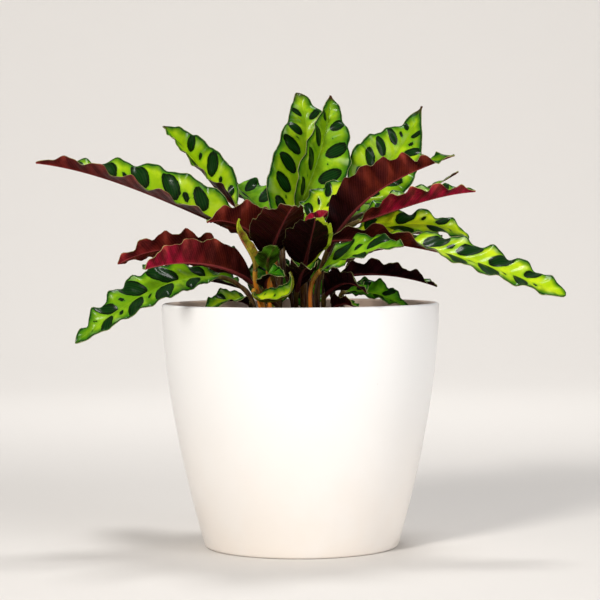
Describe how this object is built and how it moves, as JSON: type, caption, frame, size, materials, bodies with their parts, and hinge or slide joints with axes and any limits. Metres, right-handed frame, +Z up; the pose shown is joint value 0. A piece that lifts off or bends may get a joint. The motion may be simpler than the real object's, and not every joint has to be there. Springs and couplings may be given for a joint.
{
  "type": "potted calathea",
  "caption": "Potted foliage plant: long waved leaves, green above with dark ovals and maroon below, on thin stalks in a white tapered pot filled with soil.",
  "frame": {"origin": "centre of the pot's flat base, on the surface it stands on", "axes": "+Z up along the pot's axis, -Y towards the side shown in the picture, +X to the right of that view"},
  "size_m": [0.2993, 0.22, 0.2659],
  "materials": {
    "pot": "satin",
    "soil": "matte",
    "leaf": "satin"
  },
  "bodies": {
    "root": {"pot": "pot", "soil": "soil", "leaf_left_long": "leaf", "leaf_left_short": "leaf", "leaf_left_upper": "leaf", "leaf_left_back": "leaf", "leaf_left_red": "leaf", "leaf_left_brown": "leaf", "leaf_left_droop": "leaf", "leaf_left_low": "leaf", "leaf_top_left": "leaf", "leaf_top_right": "leaf", "leaf_right_upper": "leaf", "leaf_right_brown": "leaf", "leaf_right_pink": "leaf", "leaf_right_long": "leaf", "leaf_right_over": "leaf", "leaf_right_near": "leaf", "leaf_right_dark": "leaf", "leaf_right_low": "leaf", "leaf_right_thin": "leaf", "leaf_front_left": "leaf", "leaf_front_right": "leaf", "leaf_centre_lime": "leaf", "leaf_centre_bud": "leaf", "leaf_unrolling": "leaf", "leaf_small_upper": "leaf", "leaf_small_lower": "leaf", "leaf_crescent": "leaf", "leaf_front_low": "leaf", "leaf_back_high": "leaf", "leaf_back_middle": "leaf", "leaf_back_right": "leaf", "leaf_back_left": "leaf", "leaf_back_low_right": "leaf", "leaf_side_left": "leaf", "leaf_back_low_left": "leaf", "leaf_front_dark": "leaf", "leaf_front_under": "leaf", "leaf_side_right": "leaf"}
  },
  "joints": []
}
